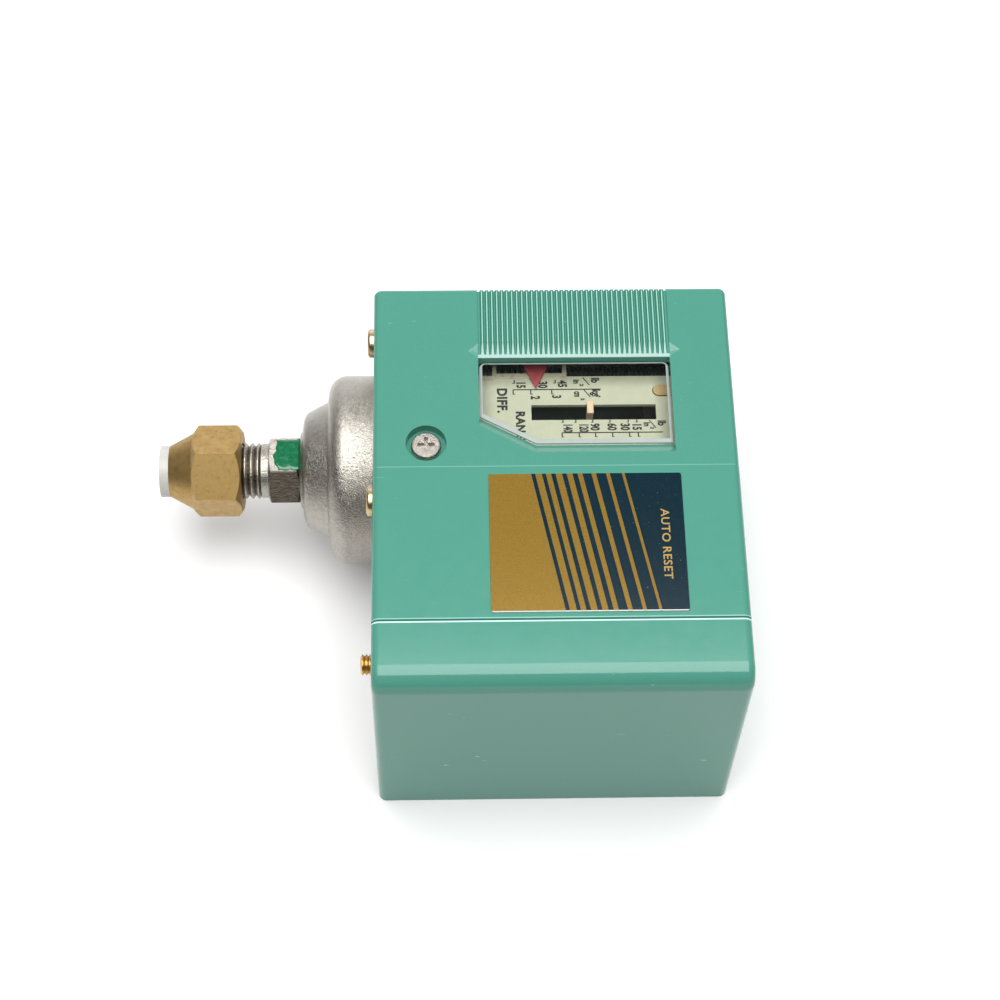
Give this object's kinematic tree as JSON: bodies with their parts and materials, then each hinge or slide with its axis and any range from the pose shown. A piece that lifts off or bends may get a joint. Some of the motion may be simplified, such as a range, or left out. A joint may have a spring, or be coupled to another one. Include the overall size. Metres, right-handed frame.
{
  "type": "refrigeration pressure control switch",
  "caption": "Box-shaped pressure control switch with ribbed cover, dial window, adjusting screws, bellows element and flare nut connection.",
  "frame": {"origin": "centre of the two mounting holes, on the back face", "axes": "+Z out of the front cover, +X towards the adjusting-screw end, -X along the pressure connection, -Y towards the plain side"},
  "size_m": [0.1108, 0.084, 0.0542],
  "materials": {
    "cover_green": "satin",
    "case_green": "satin",
    "clear_window": "gloss",
    "label_print": "satin",
    "zinc_sheet": "satin",
    "nickel_screw": "gloss",
    "yellow_zinc": "satin",
    "nickel_shell": "gloss",
    "brass": "satin",
    "bronze": "satin",
    "rubber": "matte",
    "dial_paint": "matte",
    "pointer_cream": "matte",
    "pointer_red": "satin",
    "black_steel": "satin",
    "bright_steel": "satin",
    "switch_black": "satin",
    "plunger_plastic": "satin",
    "plug_plastic": "satin",
    "fibre": "matte"
  },
  "bodies": {
    "housing": {"rear_case": "case_green", "chassis": "zinc_sheet", "end_plate": "zinc_sheet", "cover_bracket": "zinc_sheet", "case_screws": "yellow_zinc", "case_nut": "yellow_zinc", "earth_screw": "brass", "earth_washer": "brass", "cable_grommet": "rubber", "dial_bracket": "zinc_sheet", "dial_plate": "dial_paint", "dial_rivets": "nickel_screw", "dial_lug": "brass", "dial_rail": "zinc_sheet", "bellows_cup": "nickel_shell", "element_dome": "nickel_shell", "braze_ring": "nickel_shell", "flare_fitting": "nickel_shell", "bellows": "bronze", "rod_guide": "brass", "pivot_bracket": "zinc_sheet", "pivot_pin": "bright_steel", "pivot_clips": "nickel_screw", "switch_base": "switch_black", "switch_mount_screws": "nickel_screw", "terminal_1": "brass", "terminal_2": "brass", "terminal_3": "brass", "terminal_screws": "nickel_screw", "terminal_washers": "nickel_screw", "rest_contact": "brass", "work_contact": "brass", "blade_pin": "bright_steel", "insulation_sheet": "fibre", "range_spring": "bright_steel", "diff_spring": "bright_steel", "plunger_spring": "bright_steel"},
    "cover": {"front_cover": "cover_green", "window_lens": "clear_window", "label_plate": "label_print", "cover_screw": "nickel_screw"},
    "rod": {"push_rod": "bright_steel", "bellows_head": "bronze"},
    "lever": {"main_lever": "bright_steel", "calibration_screw": "brass", "calibration_nut": "brass", "range_spring_seat": "bright_steel"},
    "range_screw": {"range_screw": "black_steel"},
    "range_nut": {"range_nut": "bright_steel", "range_pointer": "pointer_cream"},
    "diff_screw": {"diff_screw": "black_steel"},
    "diff_nut": {"diff_nut": "bright_steel", "diff_pointer": "pointer_red"},
    "plunger": {"plunger": "plunger_plastic"},
    "blade": {"contact_blade": "bronze"},
    "plug": {"nut_plug": "plug_plastic"},
    "flare_nut": {"flare_nut": "brass"}
  },
  "joints": [
    {"name": "cover_lift", "type": "slide", "parent": "housing", "child": "cover", "axis": [0, 0, 1], "range_m": [0, 0.04]},
    {"name": "range_screw_turn", "type": "hinge", "parent": "housing", "child": "range_screw", "pos_m": [0.0334, 0.0188, 0.024], "axis": [1, 0, 0], "range_deg": [-4190, 2525]},
    {"name": "range_nut_travel", "type": "slide", "parent": "housing", "child": "range_nut", "axis": [1, 0, 0], "range_m": [-0.0056, 0.0093], "deforming": ["range_spring"]},
    {"name": "diff_screw_turn", "type": "hinge", "parent": "housing", "child": "diff_screw", "pos_m": [0.0334, 0.0281, 0.0423], "axis": [1, 0, 0], "range_deg": [-1490, 1985]},
    {"name": "diff_nut_travel", "type": "slide", "parent": "housing", "child": "diff_nut", "axis": [1, 0, 0], "range_m": [-0.0044, 0.0033], "deforming": ["diff_spring"]},
    {"name": "lever_rock", "type": "hinge", "parent": "housing", "child": "lever", "pos_m": [-0.01925, 0, 0.0235], "axis": [0, 0, -1], "range_deg": [0, 2.2], "stiffness_Nm_per_rad": 0.02, "springref_deg": -1.15},
    {"name": "rod_slide", "type": "slide", "parent": "housing", "child": "rod", "axis": [1, 0, 0], "range_m": [0, 0.00075], "deforming": ["bellows"]},
    {"name": "plunger_slide", "type": "slide", "parent": "housing", "child": "plunger", "axis": [1, 0, 0], "range_m": [-0.0009, 0], "deforming": ["plunger_spring"]},
    {"name": "blade_swing", "type": "hinge", "parent": "housing", "child": "blade", "pos_m": [0.0125, -0.0305, 0.018], "axis": [0, 0, -1], "range_deg": [-5.8, 0]},
    {"name": "plug_travel", "type": "slide", "parent": "housing", "child": "plug", "axis": [1, 0, 0], "range_m": [-0.012, 0.0008]},
    {"name": "nut_turn", "type": "hinge", "parent": "plug", "child": "flare_nut", "pos_m": [-0.065, 0.0188, 0.024], "axis": [1, 0, 0], "range_deg": [-3406, 231]}
  ],
  "couplings": [
    {"joint": "range_screw_turn", "follows": "range_nut_travel", "rad_per_m": -7854},
    {"joint": "diff_screw_turn", "follows": "diff_nut_travel", "rad_per_m": -7854},
    {"joint": "rod_slide", "follows": "lever_rock", "m_per_rad": 0.0188},
    {"joint": "plunger_slide", "follows": "lever_rock", "m_per_rad": -0.022},
    {"joint": "blade_swing", "follows": "lever_rock", "ratio": -2.588},
    {"joint": "nut_turn", "follows": "plug_travel", "rad_per_m": 4947.4}
  ]
}
